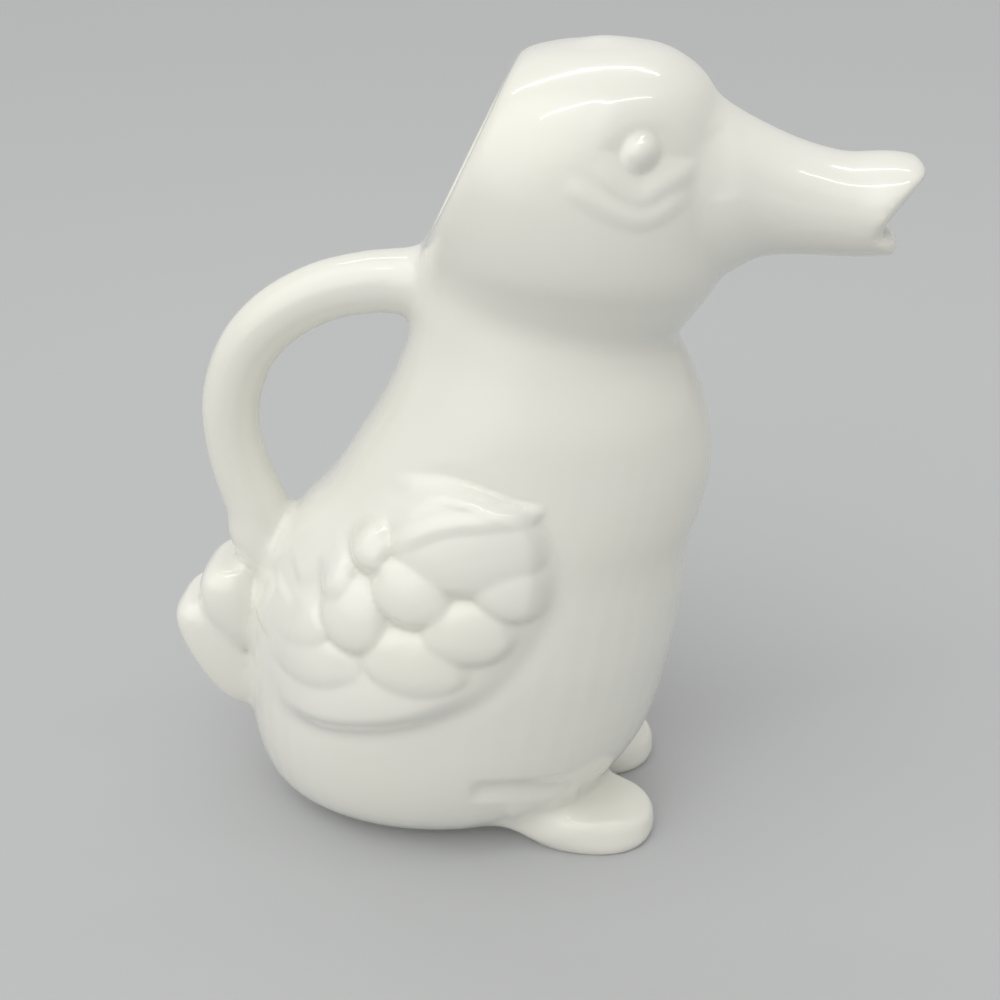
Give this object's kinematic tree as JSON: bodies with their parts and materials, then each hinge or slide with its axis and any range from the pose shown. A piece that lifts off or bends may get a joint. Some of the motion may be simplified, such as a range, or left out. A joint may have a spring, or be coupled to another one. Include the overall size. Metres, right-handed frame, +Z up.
{
  "type": "duck creamer",
  "caption": "Small glazed ceramic jug in the shape of a sitting duck, filled through the slanted opening behind its head and poured through its hollow beak, with a loop handle.",
  "frame": {"origin": "middle of the bounding box on the table plane under the foot", "axes": "+X towards the beak, +Y towards the duck's left, +Z up"},
  "size_m": [0.1245, 0.0634, 0.1407],
  "materials": {
    "glaze": "smooth white glossy glaze over white clay"
  },
  "bodies": {
    "root": {"body_shell": "glaze", "head_shell": "glaze", "beak_spout": "glaze", "handle": "glaze", "right_wing": "glaze", "left_wing": "glaze", "upper_tail_feather": "glaze", "lower_tail_feather": "glaze", "right_foot": "glaze", "left_foot": "glaze", "right_eye": "glaze", "left_eye": "glaze"}
  },
  "joints": []
}
